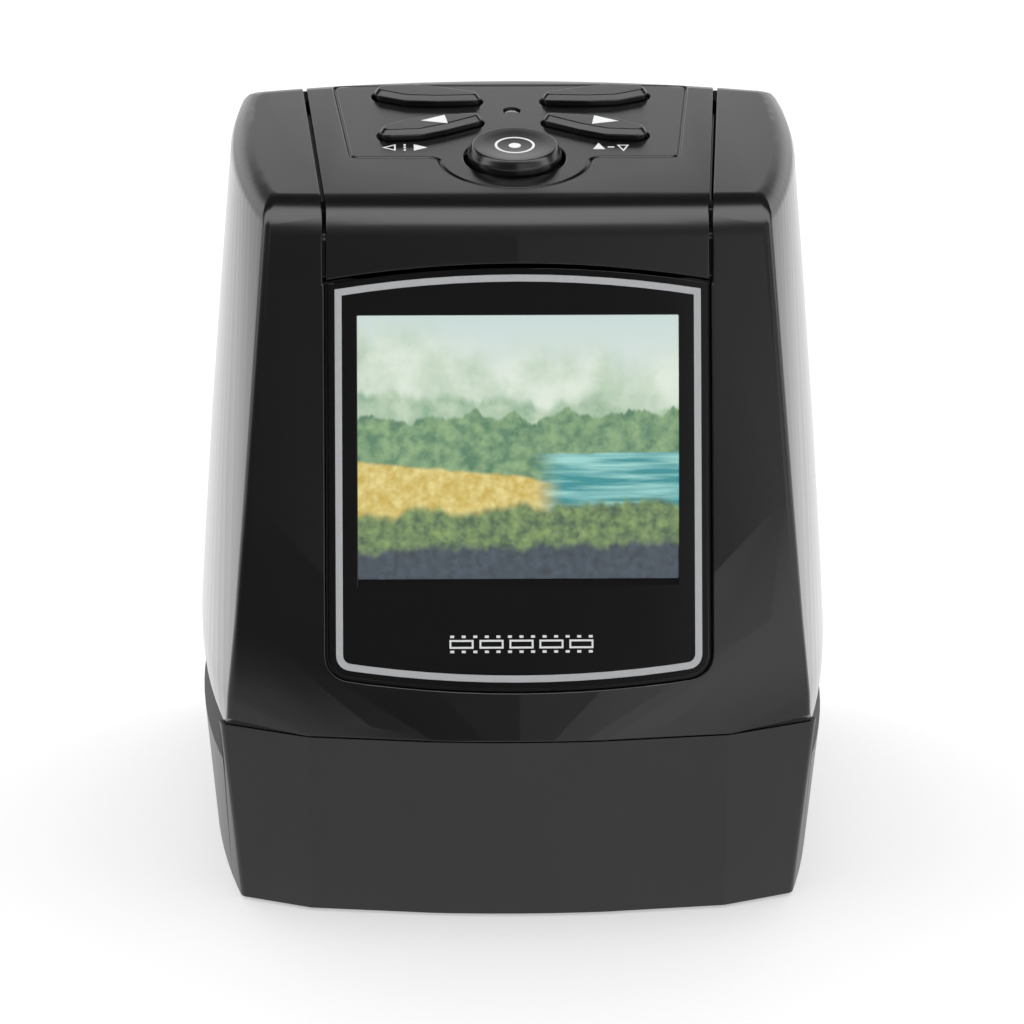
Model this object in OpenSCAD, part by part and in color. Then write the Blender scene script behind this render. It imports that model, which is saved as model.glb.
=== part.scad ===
// Desktop film negative scanner: a leaning box with a screen in front, keys on top
// and a film slot running through its base from side to side.
// +Z is up, the front faces -Y, and the origin is under the middle on the table.

/* [Housing] */
// Greatest width of the housing, at the parting line
body_w = 90; // [86:0.5:96]
// Depth of the housing at the parting line
body_d = 88; // [86:0.5:94]
// Height of the parting line between base and upper housing
seam_z = 26.6; // [25:0.2:29]
// Height of the front top edge, measured up the leaning front
face_len = 73.5; // [72:0.5:78]
// Length of the top, measured along its slope
top_len = 46.2; // [45:0.2:48]
// Lean of the front, back from upright
front_lean = 20; // [17:0.5:23]
// Slope of the top, down towards the front
top_slope = 7.8; // [5:0.1:10]
// Wall of the moulded shells
wall = 2; // [1.6:0.1:2.4]
// Radius of the rounding along the rear of the top
edge_r = 4; // [3:0.25:5]
// Radius of the rounding along the front of the top
front_edge_r = 6; // [5:0.25:6.5]
// Radius of the rounding along the sides of the top
side_edge_r = 3.2; // [2.4:0.2:4]
// Radius of the upright corners
corner_r = 1.2; // [0.8:0.1:2]
// Gap between the centre covers and the shoulders
cover_gap = 0.5; // [0.3:0.05:0.7]
// Inward draft of the base towards the table
base_draft = 5; // [2:0.5:6]

/* [Film slot] */
// Distance of the slot's ends from the front and from the rear of the housing
slot_margin = 13; // [12:0.5:15]
// Height of the slot
slot_h = 5.5; // [5:0.1:6]
// Drop of the funnel round each mouth of the slot
funnel_drop = 2.25; // [1.5:0.25:4]
// Width of the film window
gate_w = 38; // [36:1:40]
// Length of the film window, front to back
gate_d = 28; // [26:1:30]

/* [Screen] */
// Width of the glossy front panel
bezel_w = 52; // [50:0.2:53]
// Distance of the panel's lowest point above the parting line, up the front
bezel_low = 7.2; // [6.5:0.1:9]
// Height of the front panel at its middle
bezel_h = 57.7; // [56:0.1:58]
// Thickness of the front panel
bezel_t = 1.6; // [1.2:0.1:1.8]
// Depth of the panel's face below the housing
bezel_sink = 1.1; // [0.8:0.1:1.4]
// Width of the screen window
window_w = 44; // [42:0.5:45]
// Height of the screen window
window_h = 37; // [35:0.5:38]
// Distance of the window's lower edge above the parting line, up the front
window_low = 21.4; // [20.5:0.2:22]
// Width of the silver line round the panel
ring_w = 0.95; // [0.8:0.05:1.5]
// Black margin between the line and the panel's edge
ring_margin = 0.95; // [0.5:0.05:1.2]

/* [Keys] */
// Radius of the round scan button at its foot
scan_r = 6.6; // [6:0.1:7]
// Height of the round button above the cover
scan_h = 2; // [1.5:0.1:2.4]
// Distance of the round button from the rear top edge
scan_back = 30.2; // [29.5:0.1:31]
// Length of a leaf button
leaf_len = 15.3; // [14.5:0.1:16]
// Greatest width of a leaf button
leaf_w = 5.2; // [5:0.1:5.6]
// Height of a leaf button above the cover
leaf_h = 1.45; // [1:0.05:1.6]
// Travel of every key
key_travel = 0.7; // [0.4:0.1:0.8]
// Gap round a key in the cover
key_gap = 0.4; // [0.35:0.05:0.5]

/* [Optics] */
// Outer radius of the lens barrel
barrel_r = 8; // [7.5:0.1:8.5]
// Radius of the lens elements
lens_r = 5.8; // [5:0.1:6]
// Height of the sensor board above the table
sensor_z = 76; // [74:0.5:77]
// Radius of the detent pin in the film track
detent_r = 1.2; // [1:0.1:1.3]
// Travel of the detent pin
detent_travel = 1; // [0.6:0.1:1.2]

/* [Hidden] */
$fn = 48;

// Heights and clearances that the pieces share
foot_h = 0.4;                       // the base hangs this far above the table
seam_gap = 0.12;                    // open line between base and upper housing
fit = 0.1;                          // gap between pieces that only meet
free_fit = 0.3;                     // gap between pieces that must stay free
board_t = 1.6;                      // circuit board
screw_fit = 0.05;                   // between a screw and its pilot hole
big = 400;                          // anything longer than the housing

// Where the front top edge and the rear top edge lie
break_y = -body_d / 2 + face_len * sin(front_lean);
break_z = seam_z + face_len * cos(front_lean);
crest_y = break_y + top_len * cos(top_slope);
crest_z = break_z + top_len * sin(top_slope);
rear_lean = atan((body_d / 2 - crest_y) / (crest_z - seam_z));

// Swelling of the sides between the front corners and the widest place
side_swell = 4.9;
base_swell = 5.3;                   // the same for the base
base_proud = 0.25;                  // how far the base's sides stand outside the upper housing's
side_lean = 3;                      // lean of the sides above the parting line
side_arc = 1500;                    // radius of the sides, seen from the front
tuck = 0.55;                        // how far the sides' lowest part curls in
tuck_h = 5;                         // and the height it does so over
bow_r = 170;                        // radius of the front and of the rear, seen from above
facet_x = 28.7;                     // where the front's outer facets begin
facet_turn = 22.5;                  // how far the outer facets turn back
round_fn = 24;                      // fineness of rounded corners
arc_fn = 240;                       // fineness of the wide arcs

// Share of the way from the parting line to the top
function rise(z) = (z - seam_z) / (crest_z - seam_z);
// Half width of the housing at its widest place, at height z
function half_w(z) = z < seam_z
    ? body_w / 2 + base_proud - (seam_z - z) * tan(base_draft)
    : body_w / 2 - (z - seam_z) * tan(side_lean) - pow(z - seam_z, 2) / (2 * side_arc)
        - tuck * pow(max(1 - (z - seam_z) / tuck_h, 0), 2);
// Front and rear at height z, on the middle line
function front_at(z) = z < seam_z
    ? -body_d / 2 + (seam_z - z) * tan(base_draft / 2)
    : -body_d / 2 + (z - seam_z) * tan(front_lean);
function rear_at(z) = z < seam_z
    ? body_d / 2 - (seam_z - z) * tan(base_draft / 2)
    : body_d / 2 - (z - seam_z) * tan(rear_lean);
// The front is bowed at the parting line and flattens above it
function front_r(z) = bow_r / max(pow(1 - min(max(rise(z), 0), 1), 6), 0.1);
// The widest place moves back as the housing rises
function wide_at(z) = 3 + 5 * max(rise(z), 0);
// Radius of an arc that falls by drop over a run
function arc_through(run, drop) = (run * run + drop * drop) / (2 * drop);
// Radius of the sides, seen from above
function side_r(z) = arc_through(wide_at(z) - front_at(z) - 3, z < seam_z ? base_swell : side_swell);

// Outline of the housing seen from above, shrunk by inset
module plan(half, y_front, y_rear, r_front, y_wide, r_side, faceted, inset) {
    offset(r = corner_r, $fn = round_fn)
        offset(delta = -corner_r - inset)
            intersection() {
                translate([half - r_side, y_wide])
                    circle(r = r_side, $fn = arc_fn);
                translate([r_side - half, y_wide])
                    circle(r = r_side, $fn = arc_fn);
                translate([0, y_front + r_front])
                    circle(r = r_front, $fn = arc_fn);
                translate([0, y_rear - bow_r])
                    circle(r = bow_r, $fn = arc_fn);
                if (faceted)
                    facets(y_front);
            }
}

// What the outer facets leave of the outline
module facets(y_front) {
    kink_y = y_front + bow_r - sqrt(bow_r * bow_r - facet_x * facet_x);
    polygon([
        [-facet_x, kink_y],
        [0, y_front - 1],
        [facet_x, kink_y],
        [facet_x + 30, kink_y + 30 * tan(facet_turn)],
        [facet_x + 30, body_d],
        [-facet_x - 30, body_d],
        [-facet_x - 30, kink_y + 30 * tan(facet_turn)]
    ]);
}

// A thin slice of the housing at height z, tapered towards its upper or lower side
module slice(z, inset, faceted = false, shape_z = -1, upper = false) {
    shape = shape_z < 0 ? z : shape_z;
    translate([0, 0, z])
        mirror([0, 0, upper ? 1 : 0])
            linear_extrude(0.01, scale = 0.9)
                plan(half_w(shape), front_at(shape), rear_at(shape), front_r(shape),
                     wide_at(shape), side_r(shape), faceted, inset);
}

// Places: the leaning front, the top and the leaning rear, each with its own
// x to the right, y up or back along the surface, and z out of it
module on_front() {
    translate([0, -body_d / 2, seam_z])
        rotate([90 - front_lean, 0, 0])
            children();
}
module on_top() {
    translate([0, break_y, break_z])
        rotate([top_slope, 0, 0])
            children();
}
module on_rear() {
    translate([0, body_d / 2, seam_z])
        rotate([0, 0, 180])
            rotate([90 - rear_lean, 0, 0])
                children();
}

// Rounding at the top: how far the top's outline stands in at the sides, in front
// and at the rear, n below the surface
front_turn = 90 - front_lean - top_slope;
rear_turn = 90 - rear_lean + top_slope;
function edge_in(n) = n < side_edge_r
    ? side_edge_r - sqrt(side_edge_r * side_edge_r - pow(side_edge_r - n, 2))
    : 0;
function rounded_in(r, turn, n) = n < r * (1 - cos(turn))
    ? r * tan(turn / 2) - sqrt(r * r - pow(r - n, 2))
    : -n / tan(turn);
function top_front(n) = rounded_in(front_edge_r, front_turn, n);
function top_rear(n) = top_len - rounded_in(edge_r, rear_turn, n);

// A thin slice parallel to the top, n below it
module top_slice(n, inset) {
    mid_z = (break_z + crest_z) / 2 - edge_r;
    y_wide = (wide_at(crest_z) - break_y) / cos(top_slope);
    r_side = arc_through(y_wide - top_front(front_edge_r) - 3, side_swell);
    on_top()
        translate([0, y_wide, -n - inset])
            mirror([0, 0, 1])
                linear_extrude(0.01, scale = 0.9)
                    translate([0, -y_wide])
                        plan(half_w(mid_z) - edge_in(n), top_front(n), top_rear(n),
                             front_r(crest_z), y_wide, r_side - edge_in(n), false, inset);
}

// The closed form of the upper housing and of its covers, shrunk by inset
// and carried on below the parting line by below
module upper_form(inset = 0, below = 0) {
    hull() {
        slice(seam_z - below, inset, true, seam_z);
        if (below > 0)
            slice(seam_z, inset, true);
        for (t = [0.025, 0.07, 0.22, 0.45, 0.75])
            slice(seam_z + t * (break_z - seam_z), inset, upper = true);
        for (t = [1, 0.7, 0.45, 0.26, 0.12, 0.03, 0])
            top_slice(t * front_edge_r, inset);
    }
}

// The closed form of the base, shrunk by inset
module base_form(inset = 0, low = foot_h, high = seam_z - seam_gap) {
    hull() {
        slice(low, inset, true);
        slice(high, inset, true, upper = true);
    }
}

// Housing screws: one near each corner, clear of the film slot
screw_x = body_w / 2 - 15;
screw_y = body_d / 2 - 7.6;
post_r = 3.2;
screw_r = 1.3;
screw_head_r = 2.4;
screw_head_h = 1.8;
screw_head_z = 12;                  // where a screw's head seats in its post
screw_end_z = seam_z + 8;
module at_corners(x, y) {
    for (i = [-1, 1], j = [-1, 1])
        translate([i * x, j * y, 0])
            children();
}
// The rear screws stand further out, beside the rear cover
function rear_screw_x() = cover_rear - cover_gap + fit + free_fit + post_r;
module at_housing_screws() {
    for (s = [-1, 1]) {
        translate([s * screw_x, -screw_y, 0])
            children();
        translate([s * rear_screw_x(), screw_y, 0])
            children();
    }
}

// ---- Base -------------------------------------------------------------------

slot_len = body_d - 2 * slot_margin;
slot_floor = seam_z - slot_h;
funnel_x = body_w / 2 - 8.6;        // where the funnel begins, from the middle
funnel_run = 10;                    // its run outwards, past the housing's side
funnel_len = slot_len + 8;
foot_x = body_w / 2 - 16;
foot_y = body_d / 2 - 18;
foot_r = 4;
foot_t = 1.4;

module base_shell() {
    color("#2b2b2c")
        difference() {
            union() {
                difference() {
                    base_form();
                    base_form(wall, foot_h + wall, seam_z + 2);
                }
                intersection() {
                    base_form(wall / 2);
                    union() {
                        slot_sills();
                        at_housing_screws()
                            translate([0, 0, foot_h])
                                cylinder(r = post_r, h = seam_z - foot_h - seam_gap);
                    }
                }
            }
            translate([-big / 2, -slot_len / 2, slot_floor])
                cube([big, slot_len, big]);
            slot_funnels();
            at_housing_screws() {
                translate([0, 0, -1])
                    cylinder(r = screw_r + free_fit, h = big);
                translate([0, 0, -1])
                    cylinder(r = screw_head_r + free_fit, h = screw_head_z + 1);
            }
            at_corners(foot_x, foot_y)
                translate([0, 0, foot_h - 1])
                    cylinder(r = foot_r + fit, h = 1 + foot_t - foot_h);
        }
}

// Solid sills along both sides, which carry the film track
module slot_sills() {
    for (s = [-1, 1])
        translate([0, funnel_len / 2 + wall, 0])
            rotate([90, 0, 0])
                linear_extrude(funnel_len + 2 * wall)
                    polygon([
                        [s * (funnel_x - 3.4), slot_floor - 10],
                        [s * (funnel_x - 3.4), slot_floor - track_t - fit / 2],
                        [s * (funnel_x - 0.2), slot_floor - track_t - fit / 2],
                        [s * (funnel_x - 0.2), slot_floor],
                        [s * funnel_x, slot_floor],
                        [s * (funnel_x + funnel_run), slot_floor - funnel_drop],
                        [s * (funnel_x + funnel_run), slot_floor - 10]
                    ]);
}

// The sloping mouths of the film slot
module slot_funnels() {
    for (s = [-1, 1])
        translate([0, funnel_len / 2, 0])
            rotate([90, 0, 0])
                linear_extrude(funnel_len)
                    polygon([
                        [s * funnel_x, seam_z + 1],
                        [s * funnel_x, slot_floor],
                        [s * (funnel_x + funnel_run), slot_floor - funnel_drop],
                        [s * (funnel_x + funnel_run), seam_z + 1]
                    ]);
}

module rubber_feet() {
    color("#1b1b1b")
        at_corners(foot_x, foot_y)
            rotate_extrude()
                polygon([
                    [0, 0],
                    [foot_r - 0.3, 0],
                    [foot_r, 0.3],
                    [foot_r, foot_t],
                    [0, foot_t]
                ]);
}

module housing_screws() {
    color("silver")
        at_housing_screws() {
            translate([0, 0, screw_head_z - screw_head_h])
                cross_head(screw_head_r, screw_head_h);
            translate([0, 0, screw_head_z])
                cylinder(r = screw_r, h = screw_end_z - screw_head_z - 2);
            translate([0, 0, screw_end_z - 2])
                cylinder(r1 = screw_r, r2 = 0.4, h = 1.6);
        }
}

// A pan head with a cross recess, seen from below
module cross_head(r, h) {
    difference() {
        cylinder(r = r, h = h);
        for (a = [0, 90])
            rotate([0, 0, a])
                translate([-r * 0.6, -r * 0.14, -1])
                    cube([r * 1.2, r * 0.28, 1 + h * 0.5]);
    }
}

// ---- Upper housing ----------------------------------------------------------

cover_front = bezel_w / 2 + cover_gap + 0.2;    // half width of the centre strip in front
cover_rear = cover_front + 3.5;                 // and at the rear top edge
cover_split = 6;                                // depth at which the rear cover begins
bezel_arc = 160;                                // radius of the panel's top and bottom
panel_corner = 3;                               // radius of the panel's lower corners
shelf_t = 1.5;
rail_t = 1.6;
rail_in = 2;                        // reach of a rail under the cover
rail_out = 3;                       // and under the shoulder
rail_start = 6;                      // where the rails on top begin, behind the front edge

// The rear half, from lift below the line where the rear cover begins
module below_split(lift) {
    on_top()
        translate([-big / 2, top_len / 2, -cover_split - lift - big])
            cube(big);
}

// The centre strip seen from above, grown by grow
module strip(grow) {
    translate([0, 0, seam_z - 1])
        linear_extrude(big)
            polygon([
                [-cover_front - grow, -body_d],
                [cover_front + grow, -body_d],
                [cover_front + grow, break_y],
                [cover_rear + grow, crest_y],
                [cover_rear + grow, body_d],
                [-cover_rear - grow, body_d],
                [-cover_rear - grow, crest_y],
                [-cover_front - grow, break_y]
            ]);
}

// Everything behind and above the panel's top edge, raised by lift
module above_panel(lift) {
    on_front()
        translate([0, bezel_low + bezel_h + lift - bezel_arc, -big / 2])
            difference() {
                translate([-big / 2, 0, 0])
                    cube([big, big * 2, big]);
                translate([0, 0, -1])
                    cylinder(r = bezel_arc, h = big + 2, $fn = arc_fn);
            }
}

// Outline of the glossy panel, grown by grow
module panel_outline(grow) {
    offset(delta = grow) {
        offset(r = panel_corner, $fn = round_fn)
            offset(delta = -panel_corner)
                panel_raw();
        intersection() {
            panel_raw();
            translate([-bezel_w, bezel_low + bezel_h / 2])
                square([2 * bezel_w, bezel_h]);
        }
    }
}
module panel_raw() {
    intersection() {
        translate([-bezel_w / 2, 0])
            square([bezel_w, 2 * bezel_h]);
        translate([0, bezel_low + bezel_h - bezel_arc])
            circle(r = bezel_arc, $fn = arc_fn);
        translate([0, bezel_low + bezel_arc])
            circle(r = bezel_arc, $fn = arc_fn);
    }
}

panel_back = bezel_sink + bezel_t;              // depth of the panel's back
lcd_w = window_w + 3.2;
lcd_low = window_low - 1.8;
lcd_h = window_h + 3.8;
lcd_t = 1.85;
lcd_front = panel_back + 0.05;                  // depth of the screen's face
bracket_x = lcd_w / 2 + 2.6;                    // screws that hold the screen's bracket
bracket_low = lcd_low + 4;
bracket_high = lcd_low + lcd_h - 4;
bracket_depth = lcd_front + lcd_t + 2.5;        // front of the bracket
bracket_t = 1.1;
module at_bracket_screws() {
    for (s = [-1, 1], u = [bracket_low, bracket_high])
        translate([s * bracket_x, u, 0])
            children();
}

module upper_housing() {
    color("#232324")
        difference() {
            union() {
                difference() {
                    upper_form();
                    upper_form(wall, 1);
                    centre_opening();
                }
                cover_rails();
                apron_rails();
                intersection() {
                    upper_form(wall / 2);
                    union() {
                        panel_shelf();
                        at_housing_screws()
                            translate([0, 0, seam_z + track_t + fit])
                                cylinder(r = post_r, h = 9);
                    }
                }
            }
            panel_pocket();
            at_housing_screws()
                translate([0, 0, seam_z - 1])
                    cylinder(r = screw_r + screw_fit, h = screw_end_z - seam_z + 1.5);
            on_front()
                at_bracket_screws()
                    translate([0, 0, -bracket_depth - 1])
                        cylinder(r = small_screw_r + screw_fit, h = bracket_depth - panel_back - 0.2);
        }
}

// Where the top cover and the rear cover sit between the shoulders
module centre_opening() {
    intersection() {
        strip(0);
        union() {
            above_panel(0);
            translate([-big / 2, break_y + 10, seam_z - 1])
                cube([big, big, big]);
        }
    }
}

// The pocket that the glossy panel sits in
module panel_pocket() {
    on_front() {
        translate([0, 0, -panel_back])
            linear_extrude(panel_back + 10)
                panel_outline(cover_gap);
        translate([-lcd_w / 2 - 0.2, lcd_low - 0.2, -20])
            cube([lcd_w + 0.4, lcd_h + 0.4, 30]);
    }
}

// The shelf behind the glossy panel, with the bosses for the screen's bracket
module panel_shelf() {
    on_front() {
        translate([0, 0, -panel_back - shelf_t])
            linear_extrude(panel_back + shelf_t)
                intersection() {
                    panel_outline(3.4);
                    translate([-big / 2, 0])
                        square([big, bezel_low + bezel_h - 1.2]);
                }
        at_bracket_screws()
            translate([0, 0, -bracket_depth + fit / 2])
                cylinder(r = 2.2, h = bracket_depth - panel_back - 0.2);
    }
}

// Rails under the edges of the top cover
module cover_rails() {
    rail_len = top_len - rail_start - 8;
    spread = atan((cover_rear - cover_front) / top_len);
    on_top()
        for (s = [-1, 1])
            translate([s * cover_front, rail_start, -wall - rail_t])
                rotate([0, 0, -s * spread])
                    translate([s > 0 ? -2 : -3, 0, 0]) {
                        cube([5, rail_len, rail_t - fit]);
                        translate([s > 0 ? 2.3 : 0, 0, 0])
                            cube([2.7, rail_len, rail_t + 0.4]);
                    }
}

// Rails and webs behind the upright edges of the top cover, which keep light out of
// its gaps: the webs close the corner between the rails in front and those on top
module apron_rails() {
    rail_low = bezel_low + bezel_h - 3;
    rail_len = face_len - 4.5 - rail_low;
    rail_sink = wall + rail_t + 0.9;
    for (s = [-1, 1])
        translate([s * (cover_front + (rail_out - rail_in) / 2) - (rail_in + rail_out) / 2, 0, 0]) {
            on_front()
                translate([0, rail_low, -rail_sink]) {
                    cube([rail_in + rail_out, rail_len, rail_t - fit]);
                    translate([s > 0 ? rail_in + 0.3 : 0, 0, 0])
                        cube([rail_out - 0.3, rail_len, rail_t + 1.3]);
                }
            on_top()
                rotate([90, 0, 90])
                    linear_extrude(rail_in + rail_out)
                        polygon([
                            [2.9, -wall - 2],
                            [rail_start + 0.4, -wall - 1.5],
                            [rail_start + 0.4, -wall - 6.5],
                            [0.9, -wall - 6.5],
                            [0.9, -wall - 3]
                        ]);
        }
}

// ---- Top cover and keys -----------------------------------------------------

scan_v = top_len - scan_back;
leaf_front_x = 11.6;
leaf_front_v = scan_v + 9.5;
leaf_front_turn = -21;
leaf_rear_x = 12;
leaf_rear_v = scan_v + 20.5;
leaf_rear_turn = 9;
led_v = scan_v + 16.3;
led_r = 1.2;
flange_t = 1;
flange_w = 0.85;                    // how far a key's flange reaches round it
cap_low = wall + 0.05;              // depth of a key's flange
board_depth = 10.2;                 // depth of the key board below the top
switch_w = 6;
switch_top = 6.6;                   // depth of a switch's top
plunger_r = 1.7;
plunger_top = 5.4;
post_x = 21;
small_screw_r = 0.75;
key_board_w = 2 * post_x + 8;
key_board_d = 33;
key_board_ahead = 8.5;              // how far the board reaches ahead of the round key

// Places of the keys: x, v and turn of each
scan_at = [0, scan_v, 0];
left_at = [-leaf_front_x, leaf_front_v, -leaf_front_turn];
right_at = [leaf_front_x, leaf_front_v, leaf_front_turn];
rear_left_at = [-leaf_rear_x, leaf_rear_v, -leaf_rear_turn];
rear_right_at = [leaf_rear_x, leaf_rear_v, leaf_rear_turn];
leaf_places = [left_at, right_at, rear_left_at, rear_right_at];
key_places = concat([scan_at], leaf_places);
post_places = [
    [-post_x, scan_v - 5], [post_x, scan_v - 5],
    [-post_x - 1, leaf_front_v + 5.3], [post_x + 1, leaf_front_v + 5.3]
];

module at_key(place) {
    on_top()
        translate([place[0], place[1], 0])
            rotate([0, 0, place[2]])
                children();
}

// Outline of a leaf button: side is the side that its wide outer end is on
module leaf_outline(side, grow) {
    inner_r = leaf_w * 0.24;
    outer_r = leaf_w * 0.3;
    hull() {
        translate([side * (inner_r - leaf_len / 2), 0])
            circle(r = inner_r + grow, $fn = round_fn);
        translate([-side * leaf_len * 0.08, 0])
            circle(r = leaf_w * 0.44 + grow, $fn = round_fn);
        translate([side * leaf_len * 0.15, 0])
            circle(r = leaf_w * 0.5 + grow, $fn = round_fn);
        translate([side * (leaf_len / 2 - outer_r), 0])
            circle(r = outer_r + grow, $fn = round_fn);
    }
}

// The raised leaf, with a bevelled rim, its flange and its stem
module leaf_button(place) {
    side = sign(place[0]);
    at_key(place) {
        hull() {
            translate([0, 0, -cap_low])
                linear_extrude(cap_low + leaf_h * 0.5)
                    leaf_outline(side, 0);
            translate([0, 0, leaf_h - 0.01])
                linear_extrude(0.01)
                    leaf_outline(side, -leaf_h * 0.45);
        }
        translate([0, 0, -cap_low - flange_t])
            linear_extrude(flange_t + 0.01)
                leaf_outline(side, flange_w);
        translate([0, 0, -plunger_top + 0.02])
            cylinder(r = 2, h = plunger_top - cap_low - flange_t + 0.5);
    }
}

module left_button() {
    color("#1f1f20")
        leaf_button(left_at);
}
module right_button() {
    color("#1f1f20")
        leaf_button(right_at);
}
module rear_left_button() {
    color("#1f1f20")
        leaf_button(rear_left_at);
}
module rear_right_button() {
    color("#1f1f20")
        leaf_button(rear_right_at);
}

module scan_button() {
    dish_r = arc_through(scan_r - 0.9, 0.25);
    color("#1f1f20")
        at_key(scan_at)
            difference() {
                rotate_extrude()
                    polygon([
                        [0, -plunger_top + 0.02],
                        [2, -plunger_top + 0.02],
                        [2, -cap_low - flange_t],
                        [scan_r + flange_w, -cap_low - flange_t],
                        [scan_r + flange_w, -cap_low],
                        [scan_r, -cap_low],
                        [scan_r, scan_h * 0.3],
                        [scan_r - 0.7, scan_h],
                        [0, scan_h]
                    ]);
                translate([0, 0, scan_h - 0.25 + dish_r])
                    sphere(r = dish_r, $fn = 120);
            }
}

// The part of a key switch that moves with its key
module plunger(place) {
    color("white")
        at_key(place)
            translate([0, 0, -switch_top - 1.7])
                cylinder(r = plunger_r, h = switch_top + 1.7 - plunger_top);
}
module scan_plunger() {
    plunger(scan_at);
}
module left_plunger() {
    plunger(left_at);
}
module right_plunger() {
    plunger(right_at);
}
module rear_left_plunger() {
    plunger(rear_left_at);
}
module rear_right_plunger() {
    plunger(rear_right_at);
}

module key_switches() {
    color("#1a1a1a")
        for (place = key_places)
            at_key(place)
                difference() {
                    translate([-switch_w / 2, -switch_w / 2, -board_depth])
                        cube([switch_w, switch_w, board_depth - switch_top]);
                    translate([0, 0, -switch_top - 2.8])
                        cylinder(r = plunger_r + 0.08, h = 5);
                }
}

module top_cover() {
    color("#2c2c2d")
        difference() {
            union() {
                difference() {
                    intersection() {
                        upper_form();
                        strip(-cover_gap);
                        above_panel(cover_gap);
                    }
                    upper_form(wall, 1);
                    below_split(0);
                }
                on_top() {
                    for (p = post_places)
                        translate([p[0], p[1], -board_depth + fit / 2])
                            cylinder(r = 2.2, h = board_depth - wall / 2 - fit);
                    translate([0, led_v, -wall - 4])
                        cylinder(r = led_r + 0.9, h = wall + 3);
                }
            }
            for (place = leaf_places)
                at_key(place)
                    translate([0, 0, -wall - 1])
                        linear_extrude(wall + 3)
                            leaf_outline(sign(place[0]), key_gap);
            at_key(scan_at)
                translate([0, 0, -wall - 1])
                    cylinder(r = scan_r + key_gap + 0.15, h = wall + 3, $fn = 96);
            on_top() {
                translate([0, led_v, -wall - 5])
                    cylinder(r = led_r, h = wall + 8);
                for (p = post_places)
                    translate([p[0], p[1], -board_depth - 1])
                        cylinder(r = small_screw_r + screw_fit, h = 6);
                key_panel_line();
            }
        }
}

// The fine groove round the key panel
module key_panel_line() {
    translate([0, 0, -0.3])
        linear_extrude(1)
            difference() {
                key_panel(0);
                key_panel(-0.4);
            }
}
module key_panel(grow) {
    offset(delta = grow)
        offset(r = -1.2, $fn = round_fn)
            offset(r = 2.4, $fn = round_fn)
                offset(delta = -1.2) {
                    polygon([
                        [-23, scan_v - 0.2],
                        [23, scan_v - 0.2],
                        [25.6, top_len - 4.4],
                        [-25.6, top_len - 4.4]
                    ]);
                    translate([0, scan_v])
                        circle(r = scan_r + 4.2, $fn = 96);
                }
}

module key_board() {
    color("#1e6b3a")
        on_top()
            difference() {
                translate([-key_board_w / 2, scan_v - key_board_ahead, -board_depth - board_t])
                    cube([key_board_w, key_board_d, board_t]);
                for (p = post_places)
                    translate([p[0], p[1], -board_depth - board_t - 1])
                        cylinder(r = small_screw_r + free_fit, h = board_t + 2);
            }
}

module key_board_screws() {
    color("silver")
        on_top()
            for (p = post_places)
                translate([p[0], p[1], -board_depth - board_t - 1.1])
                    small_screw(1.1, board_t + 4);
}

// A small screw: its head below, its shank pointing up
module small_screw(head_h, length) {
    cross_head(small_screw_r + 0.9, head_h);
    translate([0, 0, head_h])
        cylinder(r = small_screw_r, h = length);
}

module status_led() {
    color("#d8e6d8")
        on_top()
            translate([-0.8, led_v - 0.5, -board_depth])
                cube([1.6, 1, 0.8]);
}

module light_pipe() {
    color("#e8f0f4")
        on_top()
            translate([0, led_v, -board_depth + 1])
                cylinder(r = led_r - 0.03, h = board_depth - 1.5);
}

// ---- Rear cover and sockets -------------------------------------------------

// How far the bowed rear stands in, x from the middle
function rear_in(x) = (bow_r - sqrt(bow_r * bow_r - x * x)) * cos(rear_lean);
socket_up = 14;                     // the socket board's height up the rear
usb_x = 12;
card_x = -8;
usb_w = 7.8;
usb_h = 4;
card_w = 24.6;
card_h = 2.6;
shell_t = 0.4;
io_w = 46;
io_edge = wall + rear_in(io_w / 2) + 0.3;       // depth of the board's edge
boss_x = 17;
boss_in = body_d / 2 - 23.5;        // depth of the board's screws
card_d = boss_in - 6.5;
tab_x = 23;                         // screws at the rear cover's foot
tab_up = 4.6;
tab_in = rear_in(tab_x);

module rear_cover() {
    color("#2b2b2c")
        difference() {
            union() {
                difference() {
                    intersection() {
                        upper_form();
                        strip(-cover_gap);
                        below_split(0.3);
                    }
                    upper_form(wall, 1);
                }
                on_rear()
                    for (s = [-1, 1])
                        translate([s * boss_x - 3, socket_up - 4.5, -boss_in - 2.5])
                            cube([6, 4.5 - fit / 2, boss_in + 2.5 - wall / 2 - tab_in]);
            }
            on_rear() {
                socket_hole(usb_x, usb_w + 1.4, usb_h + 1.4, usb_h);
                socket_hole(card_x, card_w, card_h, card_h);
                for (s = [-1, 1])
                    translate([s * boss_x, socket_up + 1, -boss_in])
                        rotate([90, 0, 0])
                            cylinder(r = small_screw_r + screw_fit, h = 5);
                rear_screw_places()
                    translate([0, 0, -wall - 2]) {
                        cylinder(r = small_screw_r + free_fit, h = wall + 4);
                        translate([0, 0, 2.9])
                            cylinder(r = small_screw_r + 1.3, h = 4);
                    }
            }
        }
}
module socket_hole(x, w, h, body_h) {
    translate([x - w / 2, socket_up + board_t + shell_t + body_h / 2 - h / 2, -wall - 3])
        cube([w, h, wall + 6]);
}
module rear_screw_places() {
    for (s = [-1, 1])
        translate([s * tab_x, tab_up, -tab_in])
            children();
}

// Screws that hold the rear cover to the film track's upright tabs
module rear_cover_screws() {
    color("silver")
        on_rear()
            rear_screw_places()
                translate([0, 0, -0.2])
                    rotate([180, 0, 0])
                        small_screw(0.85, 5.4);
}

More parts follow.
